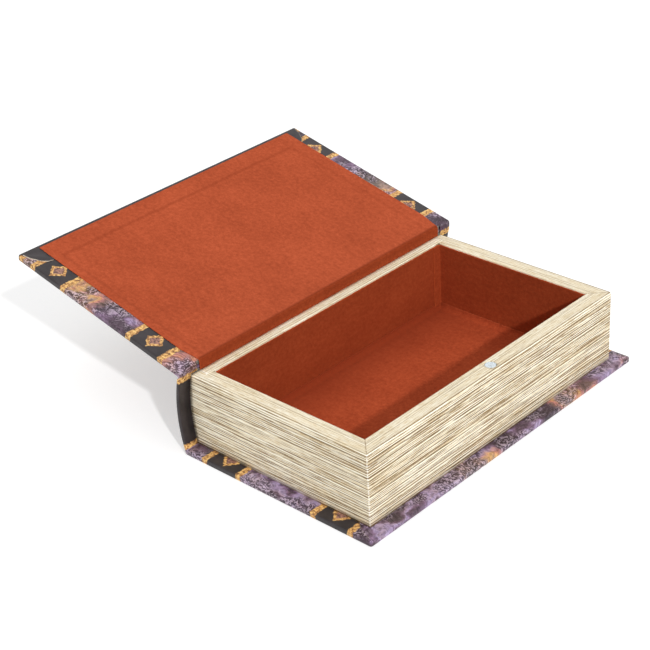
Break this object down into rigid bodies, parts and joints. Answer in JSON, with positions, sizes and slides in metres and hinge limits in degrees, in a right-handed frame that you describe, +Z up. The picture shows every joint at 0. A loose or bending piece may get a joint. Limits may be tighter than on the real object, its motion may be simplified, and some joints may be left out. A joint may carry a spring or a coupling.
{
  "type": "book box",
  "caption": "Hollow keepsake box in the form of a bound book: a printed lid hinged along a rounded spine over a suede-lined tray with page-edge sides.",
  "frame": {"origin": "middle of the tray's outline, on the underside of the base cover", "axes": "+Z up, +X from the spine to the fore edge, +Y from the tail to the head"},
  "size_m": [0.2441, 0.2114, 0.0772],
  "materials": {
    "printed_wrap": "printed, satin laminate",
    "greyboard": "raw",
    "fibreboard": "raw fibreboard",
    "page_paper": "matt, printed as page edges",
    "suede_lining": "short suede nap",
    "magnet": "nickel plated"
  },
  "bodies": {
    "tray": {"base_board": "greyboard", "base_wrap": "printed_wrap", "spine_board": "greyboard", "spine_wrap": "printed_wrap", "tail_wall": "fibreboard", "head_wall": "fibreboard", "fore_edge_wall": "fibreboard", "spine_wall": "fibreboard", "tail_page_paper": "page_paper", "head_page_paper": "page_paper", "fore_edge_page_paper": "page_paper", "spine_rim_paper": "page_paper", "tail_lining": "suede_lining", "head_lining": "suede_lining", "fore_edge_lining": "suede_lining", "spine_lining": "suede_lining", "floor_lining": "suede_lining", "rim_magnet": "magnet", "hinge_wrap": "printed_wrap", "hinge_lining": "suede_lining"},
    "lid": {"lid_board": "greyboard", "lid_wrap": "printed_wrap", "lid_lining": "suede_lining", "lid_magnet": "magnet"}
  },
  "joints": [
    {"name": "lid_hinge", "type": "hinge", "parent": "tray", "child": "lid", "pos_m": [-0.05786, 0, 0.0467], "axis": [0, 1, 0], "range_deg": [0, 166.8], "deforming": ["hinge_wrap", "hinge_lining"]}
  ]
}
